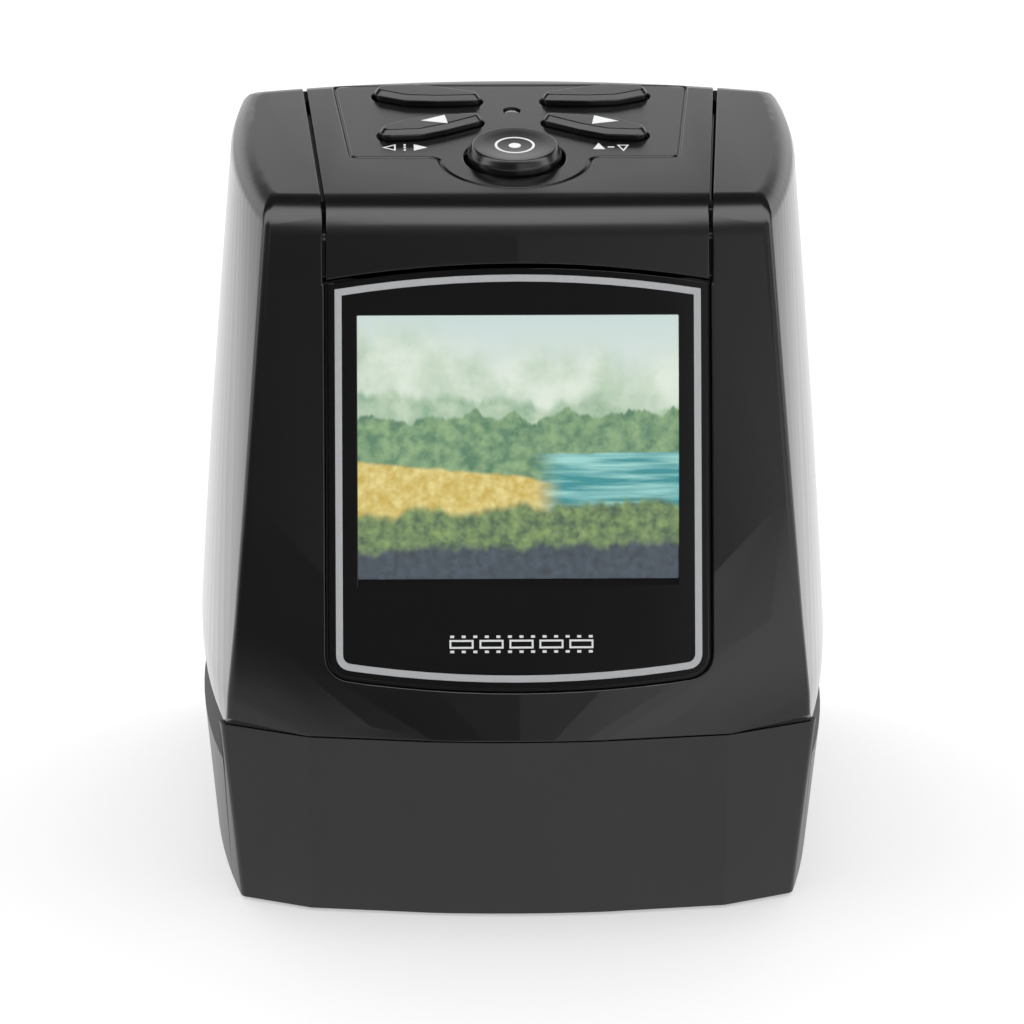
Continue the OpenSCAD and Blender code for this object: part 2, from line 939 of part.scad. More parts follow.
module io_board() {
    color("#1e6b3a")
        on_rear()
            difference() {
                translate([-io_w / 2, socket_up, -boss_in - 2.5])
                    cube([io_w, board_t, boss_in + 2.5 - io_edge]);
                for (s = [-1, 1])
                    translate([s * boss_x, socket_up + board_t + 1, -boss_in])
                        rotate([90, 0, 0])
                            cylinder(r = small_screw_r + free_fit, h = board_t + 2);
            }
}

module io_board_screws() {
    color("silver")
        on_rear()
            for (s = [-1, 1])
                translate([s * boss_x, socket_up + board_t + 1.1, -boss_in])
                    rotate([90, 0, 0])
                        small_screw(1.1, board_t + 2.5);
}

// A socket on the board: a thin shell, open to the rear
module socket_shell(x, w, h, mouth, depth, tongue) {
    on_rear()
        translate([x - w / 2, socket_up + board_t + 0.02, -mouth - depth])
            difference() {
                translate([-shell_t, 0, 0])
                    cube([w + 2 * shell_t, h + 2 * shell_t, depth]);
                translate([0, shell_t, 1])
                    difference() {
                        cube([w, h, depth]);
                        translate([w * 0.15, h * 0.4, -1])
                            cube([w * 0.7, h * 0.2, tongue]);
                    }
            }
}

module usb_socket() {
    color("silver")
        socket_shell(usb_x, usb_w, usb_h, wall, 9, 8);
}

module card_socket() {
    card_mouth = wall + rear_in(card_x - card_w / 2 - 1) + fit;
    color("silver")
        socket_shell(card_x, card_w, card_h, card_mouth, card_d, 5);
}

// ---- Screen -----------------------------------------------------------------

lip_w = 1;                          // width of the window's lower lip
lip_drop = 0.8;                     // how far the lip slopes down

module lcd_bezel() {
    color("#0c0c0d")
        on_front()
            difference() {
                translate([0, 0, -panel_back + 0.02])
                    linear_extrude(bezel_t - 0.02)
                        panel_outline(0);
                window_cut();
                translate([-window_w / 2 - 0.9, window_low - 0.9, -panel_back - 1])
                    cube([window_w + 1.8, window_h + 1.8, 1.8]);
            }
}

// The window's opening, with a sloping lip along its lower side
module window_cut() {
    window_high = window_low + window_h;
    translate([-window_w / 2, 0, 0])
        rotate([90, 0, 90])
            linear_extrude(window_w)
                polygon([
                    [window_low, 1],
                    [window_low, -bezel_sink],
                    [window_low + lip_w, -bezel_sink - lip_drop],
                    [window_low + lip_w, -panel_back - 1],
                    [window_high, -panel_back - 1],
                    [window_high, 1]
                ]);
}

module bezel_ring() {
    color("#c9cacb")
        on_front()
            translate([0, 0, -bezel_sink + 0.01])
                linear_extrude(0.14)
                    difference() {
                        panel_outline(-ring_margin);
                        panel_outline(-ring_margin - ring_w);
                    }
}

module lcd_window() {
    color([0.7, 0.8, 0.85, 0.4])
        on_front()
            translate([-window_w / 2 - 0.8, window_low - 0.8, -panel_back + 0.05])
                cube([window_w + 1.6, window_h + 1.6, 0.7]);
}

module lcd_panel() {
    color("#a8c8b0")
        on_front()
            translate([-lcd_w / 2, lcd_low, -lcd_front - lcd_t])
                cube([lcd_w, lcd_h, lcd_t]);
}

module lcd_backlight() {
    color("white")
        on_front()
            translate([-lcd_w / 2, lcd_low, -bracket_depth + fit / 2])
                cube([lcd_w, lcd_h, bracket_depth - lcd_front - lcd_t - fit]);
}

stand_x = 20;
stand_low = lcd_low - 4;
stand_high = stand_low + 30;
main_depth = bracket_depth + bracket_t + 3;     // front of the main board
main_w = 2 * stand_x + 8;
main_h = 43;
main_drop = 6.5;                                // how far it reaches below the stands
module at_stands() {
    for (s = [-1, 1], u = [stand_low + 6, stand_high])
        translate([s * stand_x, u, 0])
            children();
}

module lcd_bracket() {
    color("#9a9c9e")
        on_front()
            difference() {
                union() {
                    translate([-bracket_x - 2.4, lcd_low - 1, -bracket_depth - bracket_t])
                        cube([2 * bracket_x + 4.8, lcd_h + 2, bracket_t]);
                    at_stands()
                        translate([0, 0, -main_depth + fit / 2])
                            cylinder(r = 2, h = 3.5);
                }
                at_bracket_screws()
                    translate([0, 0, -bracket_depth - 4])
                        cylinder(r = small_screw_r + free_fit, h = 8);
                at_stands()
                    translate([0, 0, -main_depth - 1])
                        cylinder(r = small_screw_r + screw_fit, h = 4.2);
            }
}

module lcd_screws() {
    color("silver")
        on_front()
            at_bracket_screws()
                translate([0, 0, -bracket_depth - bracket_t - 1])
                    small_screw(1, bracket_t + 3);
}

module lcd_ribbon() {
    ribbon_t = 0.25;
    ribbon_up = stand_low;
    ribbon_depth = lcd_front + lcd_t - 0.05;
    color("#b8862c")
        on_front()
            translate([-8, 0, 0])
                rotate([90, 0, 90])
                    linear_extrude(16)
                        polygon([
                            [lcd_low, -ribbon_depth],
                            [lcd_low, -ribbon_depth + ribbon_t],
                            [ribbon_up, -ribbon_depth + ribbon_t],
                            [ribbon_up, -main_depth],
                            [ribbon_up + ribbon_t, -main_depth],
                            [ribbon_up + ribbon_t, -ribbon_depth]
                        ]);
}

module main_board() {
    color("#1e6b3a")
        on_front()
            difference() {
                translate([-main_w / 2, stand_low - main_drop, -main_depth - board_t])
                    cube([main_w, main_h, board_t]);
                at_stands()
                    translate([0, 0, -main_depth - board_t - 1])
                        cylinder(r = small_screw_r + free_fit, h = board_t + 2);
            }
}

module main_chips() {
    color("#151515")
        on_front()
            translate([0, 0, -main_depth - board_t]) {
                translate([-7, stand_low + 4, -1.2])
                    cube([14, 14, 1.2]);
                translate([-19, stand_low + 9, -1])
                    cube([8, 10, 1]);
                translate([10, stand_low + 10, -1])
                    cube([8, 12, 1]);
                translate([-5, stand_low - 4, -1.5])
                    cube([10, 5, 1.5]);
            }
}

module board_screws() {
    color("silver")
        on_front()
            at_stands()
                translate([0, 0, -main_depth - board_t - 1])
                    small_screw(1, board_t + 3);
}

// ---- Film track -------------------------------------------------------------

track_t = 2;
track_d = slot_len + 4;
track_in = 5.8;                     // the upper track's side, in from the housing's side
plate_in = 11;                      // and the side of its wider middle
rail_h = slot_h - fit;
detent_block_d = 8.5;
detent_z = slot_floor + slot_h / 2 - fit;
pin_flange_r = detent_r + 0.6;
pin_flange_t = 0.8;
pin_shaft = 3;                      // length of the bore that guides the pin
spring_end = track_d / 2 + detent_block_d - 3;

module film_track_lower() {
    color("#303031")
        difference() {
            union() {
                translate([-funnel_x + 0.3, -track_d / 2, slot_floor - track_t])
                    cube([2 * funnel_x - 0.6, track_d, track_t]);
                for (s = [-1, 1])
                    translate([-funnel_x + 4, s * (slot_len / 2 + 1) - 1, slot_floor - 0.5])
                        cube([2 * funnel_x - 8, 2, rail_h + 0.5]);
                translate([-4, slot_len / 2, slot_floor - track_t])
                    cube([8, detent_block_d, rail_h + track_t]);
            }
            translate([-gate_w / 2, -gate_d / 2, slot_floor - track_t - 1])
                cube([gate_w, gate_d, track_t + 2]);
            translate([0, slot_len / 2 - 1, detent_z])
                rotate([-90, 0, 0])
                    cylinder(r = detent_r + screw_fit, h = pin_shaft + 2);
            translate([0, slot_len / 2 + pin_shaft, detent_z])
                rotate([-90, 0, 0])
                    cylinder(r = pin_flange_r + 0.1, h = detent_block_d - pin_shaft - 1);
        }
}

module film_track_upper() {
    color("#303031")
        difference() {
            union() {
                translate([plate_in - body_w / 2, -track_d / 2, seam_z + fit / 2])
                    cube([body_w - 2 * plate_in, track_d, track_t - fit / 2]);
                translate([track_in - body_w / 2, -slot_len / 2, seam_z + fit / 2])
                    cube([body_w - 2 * track_in, slot_len, track_t - fit / 2]);
                for (s = [-1, 1]) {
                    ear(s * screw_x, -1);
                    ear(s * rear_screw_x(), 1);
                }
                rear_tabs();
            }
            translate([-gate_w / 2, -gate_d / 2, seam_z - 1])
                cube([gate_w, gate_d, track_t + 2]);
            at_housing_screws()
                translate([0, 0, seam_z - 1])
                    cylinder(r = screw_r + free_fit, h = track_t + 2);
            on_rear()
                rear_screw_places()
                    translate([0, 0, -wall - 7])
                        cylinder(r = small_screw_r + screw_fit, h = 10);
            at_corners(tower_w / 2 - 3, tower_d / 2 - 3)
                translate([0, 0, seam_z - 1])
                    cylinder(r = small_screw_r + screw_fit, h = track_t + 2);
        }
}

// An ear from the plate to a housing screw, in front or at the rear
module ear(x, side) {
    reach = screw_y - track_d / 2;
    translate([x, side * (track_d + reach) / 2, seam_z + (track_t + fit / 2) / 2])
        cube([5.2, reach + 1.8, track_t - fit / 2], center = true);
}

// Upright tabs that take the rear cover's screws
module rear_tabs() {
    for (s = [-1, 1])
        translate([s * tab_x - 2.5, body_d / 2 - 12, seam_z + fit / 2])
            cube([5, 6.1, 7.2]);
}

module detent_pin() {
    color("silver")
        translate([0, 0, detent_z])
            rotate([-90, 0, 0])
                rotate_extrude()
                    polygon([
                        [0, slot_len / 2 - 1.3],
                        [detent_r - 0.7, slot_len / 2 - 1.3],
                        [detent_r, slot_len / 2 - 0.6],
                        [detent_r, slot_len / 2 + pin_shaft + fit],
                        [pin_flange_r, slot_len / 2 + pin_shaft + fit],
                        [pin_flange_r, slot_len / 2 + pin_shaft + fit + pin_flange_t],
                        [0, slot_len / 2 + pin_shaft + fit + pin_flange_t]
                    ]);
}

module detent_spring() {
    near = slot_len / 2 + pin_shaft + fit + pin_flange_t + 0.02;
    far = slot_len / 2 + detent_block_d - 1.02;
    color("silver")
        translate([0, near, detent_z])
            rotate([-90, 0, 0])
                difference() {
                    cylinder(r = pin_flange_r, h = far - near);
                    translate([0, 0, -1])
                        cylinder(r = pin_flange_r - 0.4, h = far - near + 2);
                }
}

// ---- Backlight --------------------------------------------------------------

light_w = gate_w + 10;
light_d = gate_d + 10;
light_wall = 1.5;
light_low = foot_h + wall + 0.05;
light_top = slot_floor - track_t - fit;

module backlight_housing() {
    color("#e6e6e2")
        difference() {
            translate([-light_w / 2, -light_d / 2, light_low])
                cube([light_w, light_d, light_top - light_low]);
            translate([-light_w / 2 + light_wall, -light_d / 2 + light_wall, light_low + light_wall])
                cube([light_w - 2 * light_wall, light_d - 2 * light_wall, big]);
        }
}

module backlight_board() {
    color("#f0f0f0")
        translate([-light_w / 2 + light_wall + fit, -light_d / 2 + light_wall + fit,
                   light_low + light_wall])
            cube([light_w - 2 * light_wall - 2 * fit, light_d - 2 * light_wall - 2 * fit, 1]);
}

module backlight_leds() {
    color("#fff4c0")
        for (x = [-14, 0, 14], y = [-10, 0, 10])
            translate([x - 1.4, y - 1.75, light_low + light_wall + 1])
                cube([2.8, 3.5, 0.8]);
}

module diffuser_plate() {
    color([0.95, 0.95, 0.95, 0.8])
        translate([-light_w / 2 + light_wall + fit, -light_d / 2 + light_wall + fit,
                   light_top - 1.6])
            cube([light_w - 2 * light_wall - 2 * fit, light_d - 2 * light_wall - 2 * fit, 1.5]);
}

// ---- Optics -----------------------------------------------------------------

tower_w = gate_w + 14;
tower_d = gate_d + 14;
tower_low = seam_z + track_t + fit;
neck_z = sensor_z - 24;
neck_top = sensor_z - 10;
post_in = 10.5;
post_y = 7.4;
seat_r = lens_r + 0.05;
lens_curve = 20;                    // radius of a lens's faces
lens_mid = 1.8;                     // half of its thickness in the middle
// Half the thickness of a lens, r from its axis
function lens_half(r) = lens_mid - lens_curve + sqrt(lens_curve * lens_curve - r * r);

// A tapered box, w1 by d1 below and w2 by d2 above
module frustum(w1, d1, w2, d2, h) {
    intersection() {
        rotate([90, 0, 0])
            linear_extrude(big, center = true)
                polygon([[-w1 / 2, 0], [w1 / 2, 0], [w2 / 2, h], [-w2 / 2, h]]);
        rotate([90, 0, 90])
            linear_extrude(big, center = true)
                polygon([[-d1 / 2, 0], [d1 / 2, 0], [d2 / 2, h], [-d2 / 2, h]]);
    }
}

module optics_tower() {
    shroud_w = gate_w + 5;
    shroud_d = gate_d + 5;
    color("#1c1c1d")
        difference() {
            union() {
                translate([-tower_w / 2, -tower_d / 2, tower_low])
                    cube([tower_w, tower_d, 2]);
                translate([0, 0, tower_low])
                    frustum(shroud_w, shroud_d, 21, 21, neck_z - tower_low);
                translate([0, 0, neck_z - 0.5])
                    cylinder(r = barrel_r + 1.5, h = neck_top - neck_z + 0.5);
                translate([-13, -9.2, neck_top - 2])
                    cube([26, 18.4, 2]);
                at_corners(post_in, post_y)
                    translate([0, 0, neck_top - 2])
                        cylinder(r = 1.8, h = sensor_z - neck_top + 2 - fit / 2);
            }
            translate([0, 0, tower_low - 0.01])
                frustum(shroud_w - 3, shroud_d - 3, 17, 17, neck_z - tower_low - 2);
            translate([0, 0, neck_z - 5])
                cylinder(r = barrel_r + screw_fit, h = 60);
            at_corners(post_in, post_y)
                translate([0, 0, sensor_z - 7])
                    cylinder(r = small_screw_r + screw_fit, h = 8);
            at_corners(tower_w / 2 - 3, tower_d / 2 - 3)
                translate([0, 0, tower_low - 1])
                    cylinder(r = small_screw_r + free_fit, h = 4);
        }
}

module tower_screws() {
    color("silver")
        at_corners(tower_w / 2 - 3, tower_d / 2 - 3)
            translate([0, 0, tower_low + 3])
                rotate([180, 0, 0])
                    small_screw(1, 3.6);
}

module lens_barrel() {
    barrel_low = neck_z - 3;
    barrel_top = neck_top + 3;
    color("#111111")
        translate([0, 0, barrel_low])
            rotate_extrude()
                polygon([
                    [lens_r - 1, 0],
                    [barrel_r, 0],
                    [barrel_r, barrel_top - barrel_low],
                    [seat_r, barrel_top - barrel_low],
                    [seat_r, barrel_top - barrel_low - 4],
                    [lens_r - 1.4, barrel_top - barrel_low - 4],
                    [lens_r - 1.4, 6],
                    [seat_r, 6],
                    [seat_r, 2],
                    [lens_r - 1, 2]
                ]);
}

// Each lens rests on the rim of its seat
module lens_elements() {
    lower_z = neck_z - 1 + lens_half(lens_r - 1) + fit;
    upper_z = neck_top - 1 + lens_half(lens_r - 1.4) + fit;
    color([0.75, 0.85, 0.9, 0.5])
        for (z = [lower_z, upper_z])
            translate([0, 0, z])
                intersection() {
                    cylinder(r = lens_r, h = 3 * lens_mid, center = true);
                    translate([0, 0, lens_mid - lens_curve])
                        sphere(r = lens_curve, $fn = 96);
                    translate([0, 0, lens_curve - lens_mid])
                        sphere(r = lens_curve, $fn = 96);
                }
}

module sensor_board() {
    color("#1e6b3a")
        difference() {
            translate([-post_in - 3, -post_y - 2.6, sensor_z])
                cube([2 * post_in + 6, 2 * post_y + 5.2, board_t]);
            at_corners(post_in, post_y)
                translate([0, 0, sensor_z - 1])
                    cylinder(r = small_screw_r + free_fit, h = board_t + 2);
        }
}

module image_sensor() {
    color("#3a3f55")
        translate([-5.5, -4.5, sensor_z - 1.2])
            cube([11, 9, 1.2]);
}

module sensor_screws() {
    color("silver")
        at_corners(post_in, post_y)
            translate([0, 0, sensor_z + board_t + 1])
                rotate([180, 0, 0])
                    small_screw(1, board_t + 4);
}

// ---- Assembly ---------------------------------------------------------------

base_shell();
rubber_feet();
housing_screws();
upper_housing();
top_cover();
rear_cover();
rear_cover_screws();
lcd_bezel();
bezel_ring();
lcd_window();
lcd_panel();
lcd_backlight();
lcd_bracket();
lcd_screws();
lcd_ribbon();
main_board();
main_chips();
board_screws();
scan_button();
left_button();
right_button();
rear_left_button();
rear_right_button();
scan_plunger();
left_plunger();
right_plunger();
rear_left_plunger();
rear_right_plunger();
key_switches();
key_board();
key_board_screws();
status_led();
light_pipe();
io_board();
io_board_screws();
usb_socket();
card_socket();
film_track_lower();
film_track_upper();
detent_pin();
detent_spring();
backlight_housing();
backlight_board();
backlight_leds();
diffuser_plate();
optics_tower();
tower_screws();
lens_barrel();
lens_elements();
sensor_board();
image_sensor();
sensor_screws();
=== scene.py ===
import math

import bpy
from mathutils import Matrix, Vector


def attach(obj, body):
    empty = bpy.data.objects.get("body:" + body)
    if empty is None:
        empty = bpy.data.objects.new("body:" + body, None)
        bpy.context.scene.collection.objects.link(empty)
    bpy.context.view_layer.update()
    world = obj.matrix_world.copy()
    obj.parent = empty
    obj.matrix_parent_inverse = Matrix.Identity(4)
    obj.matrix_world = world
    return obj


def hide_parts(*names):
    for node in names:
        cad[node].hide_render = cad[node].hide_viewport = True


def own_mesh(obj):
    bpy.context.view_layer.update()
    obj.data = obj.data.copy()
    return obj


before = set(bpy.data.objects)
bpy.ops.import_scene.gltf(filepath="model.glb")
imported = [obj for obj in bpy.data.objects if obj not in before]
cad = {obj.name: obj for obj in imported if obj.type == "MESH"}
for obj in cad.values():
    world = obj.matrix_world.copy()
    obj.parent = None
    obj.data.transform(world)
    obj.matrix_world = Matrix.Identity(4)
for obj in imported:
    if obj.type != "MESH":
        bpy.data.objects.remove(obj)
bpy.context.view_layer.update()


# ---- Camera -----------------------------------------------------------------
# A long lens 0.7 m away, 20 degrees above the table and a hair to the left, so that
# it looks square at the leaning screen, as the photograph does.

def aim_camera(target, azimuth, elevation, distance, roll, scale):
    """Puts the camera at that distance from the target; scale is pixels per metre there."""
    a = math.radians(azimuth)
    e = math.radians(elevation)
    back = Vector((math.sin(a) * math.cos(e), -math.cos(a) * math.cos(e), math.sin(e)))
    bpy.ops.object.camera_add(location=Vector(target) + distance * back)
    camera = bpy.context.object
    camera.name = "camera"
    turn = (-back).to_track_quat("-Z", "Y") @ Matrix.Rotation(math.radians(roll), 3, "Z").to_quaternion()
    camera.rotation_euler = turn.to_euler()
    camera.data.sensor_width = 36
    camera.data.lens = scale * distance * 36 / 1024
    camera.data.clip_start = 0.01
    camera.data.clip_end = 20
    bpy.context.scene.camera = camera


aim_camera(target=(-0.00014, -0.00419, 0.0456), azimuth=-1.6, elevation=20.0, distance=0.7, roll=0.3,
           scale=7000)


# ---- Moulded shells: shoulders, top cover and rear cover ---------------------
# The housing is injection moulded in black ABS with a fine spark-eroded grain, so it
# is satin: it keeps broad soft reflections and brightens towards its silhouette.
# Two shoulders are one moulding with the front; the covers snap in between them.

def linear(hex_colour, alpha=1.0):
    """An sRGB hex value as the linear colour that a shader takes."""
    value = hex_colour.lstrip("#")
    parts = [int(value[i:i + 2], 16) / 255 for i in (0, 2, 4)]
    return tuple(c / 12.92 if c <= 0.04045 else ((c + 0.055) / 1.055) ** 2.4 for c in parts) + (alpha,)


def add(tree, kind, values=None, links=None, **settings):
    """Adds one node to a material, sets its settings and inputs and links it."""
    made = tree.nodes.new(kind)
    for key, value in settings.items():
        setattr(made, key, value)
    for key, value in (values or {}).items():
        made.inputs[key].default_value = value
    for key, source in (links or {}).items():
        tree.links.new(source, made.inputs[key])
    return made


def start_material(name, **values):
    """An empty material with one Principled shader: (material, tree, shader)."""
    material = bpy.data.materials.new(name)
    material.use_nodes = True
    tree = material.node_tree
    tree.nodes.clear()
    shader = add(tree, "ShaderNodeBsdfPrincipled", {k.replace("_", " "): v for k, v in values.items()})
    add(tree, "ShaderNodeOutputMaterial", links={"Surface": shader.outputs[0]})
    return material, tree, shader


def moulded_abs(name, colour, lighter, roughness, grain_mm, depth_um):
    """ABS with a spark-eroded grain: pits of grain_mm, faint cloudiness over about 8 mm."""
    material, tree, shader = start_material(name, IOR=1.58)
    place = add(tree, "ShaderNodeTexCoord").outputs["Object"]
    grain = add(tree, "ShaderNodeTexNoise", {"Scale": 1000 / grain_mm, "Detail": 3.0, "Roughness": 0.6},
                {"Vector": place})
    cloud = add(tree, "ShaderNodeTexNoise", {"Scale": 125.0, "Detail": 2.0}, {"Vector": place})
    tint = add(tree, "ShaderNodeMix", {6: linear(colour), 7: linear(lighter)}, {0: cloud.outputs["Fac"]},
               data_type="RGBA")
    polish = add(tree, "ShaderNodeMapRange", {"To Min": roughness - 0.03, "To Max": roughness + 0.03},
                 {"Value": grain.outputs["Fac"]})
    pits = add(tree, "ShaderNodeBump", {"Strength": 0.5, "Distance": depth_um * 1e-6},
               {"Height": grain.outputs["Fac"]})
    tree.links.new(tint.outputs[2], shader.inputs["Base Color"])
    tree.links.new(polish.outputs[0], shader.inputs["Roughness"])
    tree.links.new(pits.outputs[0], shader.inputs["Normal"])
    return material


def paint(thing, material):
    """Gives an object that one material."""
    thing.data.materials.clear()
    thing.data.materials.append(material)


def fine_copy(node, name, edge, body, angle=32):
    """A clean copy of a CAD shell, with its sharp edges broken and its curves smooth."""
    bpy.ops.object.select_all(action="DESELECT")
    piece = bpy.data.objects.new(name, cad[node].data.copy())
    bpy.context.scene.collection.objects.link(piece)
    bpy.context.view_layer.objects.active = piece
    piece.select_set(True)
    bpy.ops.object.mode_set(mode="EDIT")
    bpy.ops.mesh.select_all(action="SELECT")
    bpy.ops.mesh.remove_doubles(threshold=0.00001)
    bpy.ops.mesh.dissolve_limited(angle_limit=math.radians(0.25))
    bpy.ops.object.mode_set(mode="OBJECT")
    bevel = piece.modifiers.new("broken edges", "BEVEL")
    bevel.width = edge
    bevel.segments = 2
    bevel.limit_method = "ANGLE"
    bevel.angle_limit = math.radians(40)
    bevel.use_clamp_overlap = False
    bpy.ops.object.modifier_apply(modifier=bevel.name)
    bpy.ops.object.shade_smooth_by_angle(angle=math.radians(angle))
    weigh = piece.modifiers.new("even shading", "WEIGHTED_NORMAL")
    weigh.keep_sharp = True
    weigh.mode = "FACE_AREA_WITH_ANGLE"
    bpy.ops.object.modifier_apply(modifier=weigh.name)
    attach(piece, body)
    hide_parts(node)
    return piece


fine_edge = 0.00008
plain_edge = 0.0002
satin_abs = moulded_abs("black ABS, spark eroded", "#0c0c0d", "#101011", 0.22, 0.35, 3)
matt_abs = moulded_abs("black ABS, coarse spark eroded", "#161617", "#1b1b1c", 0.42, 0.45, 8)

shoulders = fine_copy("upper_housing", "shoulders_and_front", plain_edge, "housing")
paint(shoulders, satin_abs)
cover = fine_copy("top_cover", "top_cover_moulding", plain_edge, "housing")
paint(cover, satin_abs)
back_cover = fine_copy("rear_cover", "rear_cover_moulding", fine_edge, "housing")
paint(back_cover, satin_abs)


# ---- Base, feet and screws -----------------------------------------------------
# The base is a coarser, duller moulding of the same ABS, faceted at its front corners.
# It stands on four moulded rubber feet and is held by zinc-plated screws from below.

base = fine_copy("base_shell", "base_moulding", fine_edge, "housing")
paint(base, matt_abs)


def grained(name, dark, light, grain_mm, smooth, rough, **values):
    """A material whose colour and polish wander between two values over that grain."""
    material, tree, shader = start_material(name, **values)
    place = add(tree, "ShaderNodeTexCoord").outputs["Object"]
    grain = add(tree, "ShaderNodeTexNoise", {"Scale": 1000 / grain_mm, "Detail": 3.0}, {"Vector": place})
    tint = add(tree, "ShaderNodeMix", {6: linear(dark), 7: linear(light)}, {0: grain.outputs["Fac"]},
               data_type="RGBA")
    polish = add(tree, "ShaderNodeMapRange", {"To Min": smooth, "To Max": rough},
                 {"Value": grain.outputs["Fac"]})
    tree.links.new(tint.outputs[2], shader.inputs["Base Color"])
    tree.links.new(polish.outputs[0], shader.inputs["Roughness"])
    return material


paint(cad["rubber_feet"], grained("rubber, moulded", "#161616", "#202020", 0.33, 0.62, 0.78, IOR=1.52))
zinc = grained("steel, zinc plated", "#a9adb2", "#c9ccd0", 0.2, 0.24, 0.38, Metallic=1.0)
for node in ("housing_screws", "rear_cover_screws", "lcd_screws", "board_screws", "key_board_screws",
             "io_board_screws", "tower_screws", "sensor_screws"):
    paint(cad[node], zinc)


# ---- Front panel ---------------------------------------------------------------
# A polished black acrylic plate, with a silver line printed round its face and a
# plain strip of film printed low down in its middle.

def wiped(name, smooth, rough, **values):
    """Acrylic whose polish wanders between two values over about 11 mm, as after a wipe."""
    material, tree, shader = start_material(name, **values)
    place = add(tree, "ShaderNodeTexCoord").outputs["Object"]
    wipe = add(tree, "ShaderNodeTexNoise", {"Scale": 90.0, "Detail": 3.0}, {"Vector": place})
    film = add(tree, "ShaderNodeMapRange", {"To Min": smooth, "To Max": rough},
               {"Value": wipe.outputs["Fac"]})
    tree.links.new(film.outputs[0], shader.inputs["Roughness"])
    return material


piano = wiped("PMMA, polished black", 0.05, 0.11, Base_Color=linear("#151516"), IOR=1.49)
panel_edge = 0.00012
plate = fine_copy("lcd_bezel", "front_panel_plate", panel_edge, "housing")
paint(plate, piano)
paint(cad["bezel_ring"], grained("silver ink, hot stamped", "#adafb1", "#c2c3c5", 0.25, 0.38, 0.5,
                                 Metallic=0.4))
white_ink = grained("white ink, pad printed", "#d9dadb", "#e9eaea", 0.3, 0.45, 0.6, IOR=1.5)


print_thickness = 0.00003


def printed(sides, size, at=(0, 0), turn=0.0, rim=0.0):
    """A thin shape of ink or plating, in mm: an n-gon stretched to a size, or only its rim."""
    bpy.ops.object.select_all(action="DESELECT")
    bpy.ops.mesh.primitive_circle_add(vertices=sides, radius=1, fill_type="NGON",
                                      rotation=(0, 0, math.radians(turn)))
    piece = bpy.context.object
    bpy.ops.object.transform_apply(rotation=True)
    spread = [max(v.co[i] for v in piece.data.vertices) - min(v.co[i] for v in piece.data.vertices)
              for i in (0, 1)]
    bpy.ops.object.mode_set(mode="EDIT")
    bpy.ops.mesh.select_all(action="SELECT")
    bpy.ops.transform.resize(value=(size[0] / 1000 / spread[0], size[1] / 1000 / spread[1], 1),
                             center_override=(0, 0, 0))
    if rim:
        bpy.ops.mesh.inset(thickness=rim / 1000)
        bpy.ops.mesh.delete(type="FACE")
        bpy.ops.mesh.select_all(action="SELECT")
    bpy.ops.transform.translate(value=(at[0] / 1000, at[1] / 1000, 0))
    bpy.ops.mesh.extrude_region_move(TRANSFORM_OT_translate={"value": (0, 0, print_thickness)})
    bpy.ops.object.mode_set(mode="OBJECT")
    return piece


def on_surface(y, z, tilt, u, v, w, turn=0.0):
    """The place u across, v along and w above a plane that leaves (0, y, z) at that tilt, in mm."""
    return (Matrix.Translation((0, y / 1000, z / 1000)) @ Matrix.Rotation(math.radians(tilt), 4, "X")
            @ Matrix.Translation((u / 1000, v / 1000, w / 1000))
            @ Matrix.Rotation(math.radians(turn), 4, "Z"))


half_depth = 44
parting_height = 26.6
front_tilt = 70
break_y = -18.862               # where the front meets the top
break_z = 95.667
top_tilt = 7.8


def on_front(u, v, w):
    """A place on the leaning front, u across, v up from the parting line."""
    return on_surface(-half_depth, parting_height, front_tilt, u, v, w)


def on_top(u, v, w, turn=0.0):
    """A place on the top, u across, v back from its front edge."""
    return on_surface(break_y, break_z, top_tilt, u, v, w, turn)


def settle(shapes, name, place, material, body):
    """Joins shapes modelled at the origin, moves them to their place and fixes them to a body."""
    bpy.ops.object.select_all(action="DESELECT")
    for shape in shapes:
        shape.select_set(True)
    bpy.context.view_layer.objects.active = shapes[0]
    if len(shapes) > 1:
        bpy.ops.object.join()
    piece = bpy.context.view_layer.objects.active
    piece.name = name
    piece.matrix_world = place
    bpy.ops.object.transform_apply(location=True, rotation=True, scale=True)
    bpy.ops.object.mode_set(mode="EDIT")
    bpy.ops.mesh.select_all(action="SELECT")
    bpy.ops.mesh.normals_make_consistent(inside=False)
    bpy.ops.object.mode_set(mode="OBJECT")
    paint(piece, material)
    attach(piece, body)
    return piece


film_strip = [printed(4, (3.3, 1.2), (4.1 * i, 0), 45, rim=0.26) for i in range(-2, 3)]
film_strip += [printed(4, (0.55, 0.34), (1.58 * i, side * 1.03), 45)
               for i in range(-6, 7) for side in (-1, 1)]
settle(film_strip, "film_strip_print", on_front(0.3, 13.4, -1.105), white_ink, "housing")
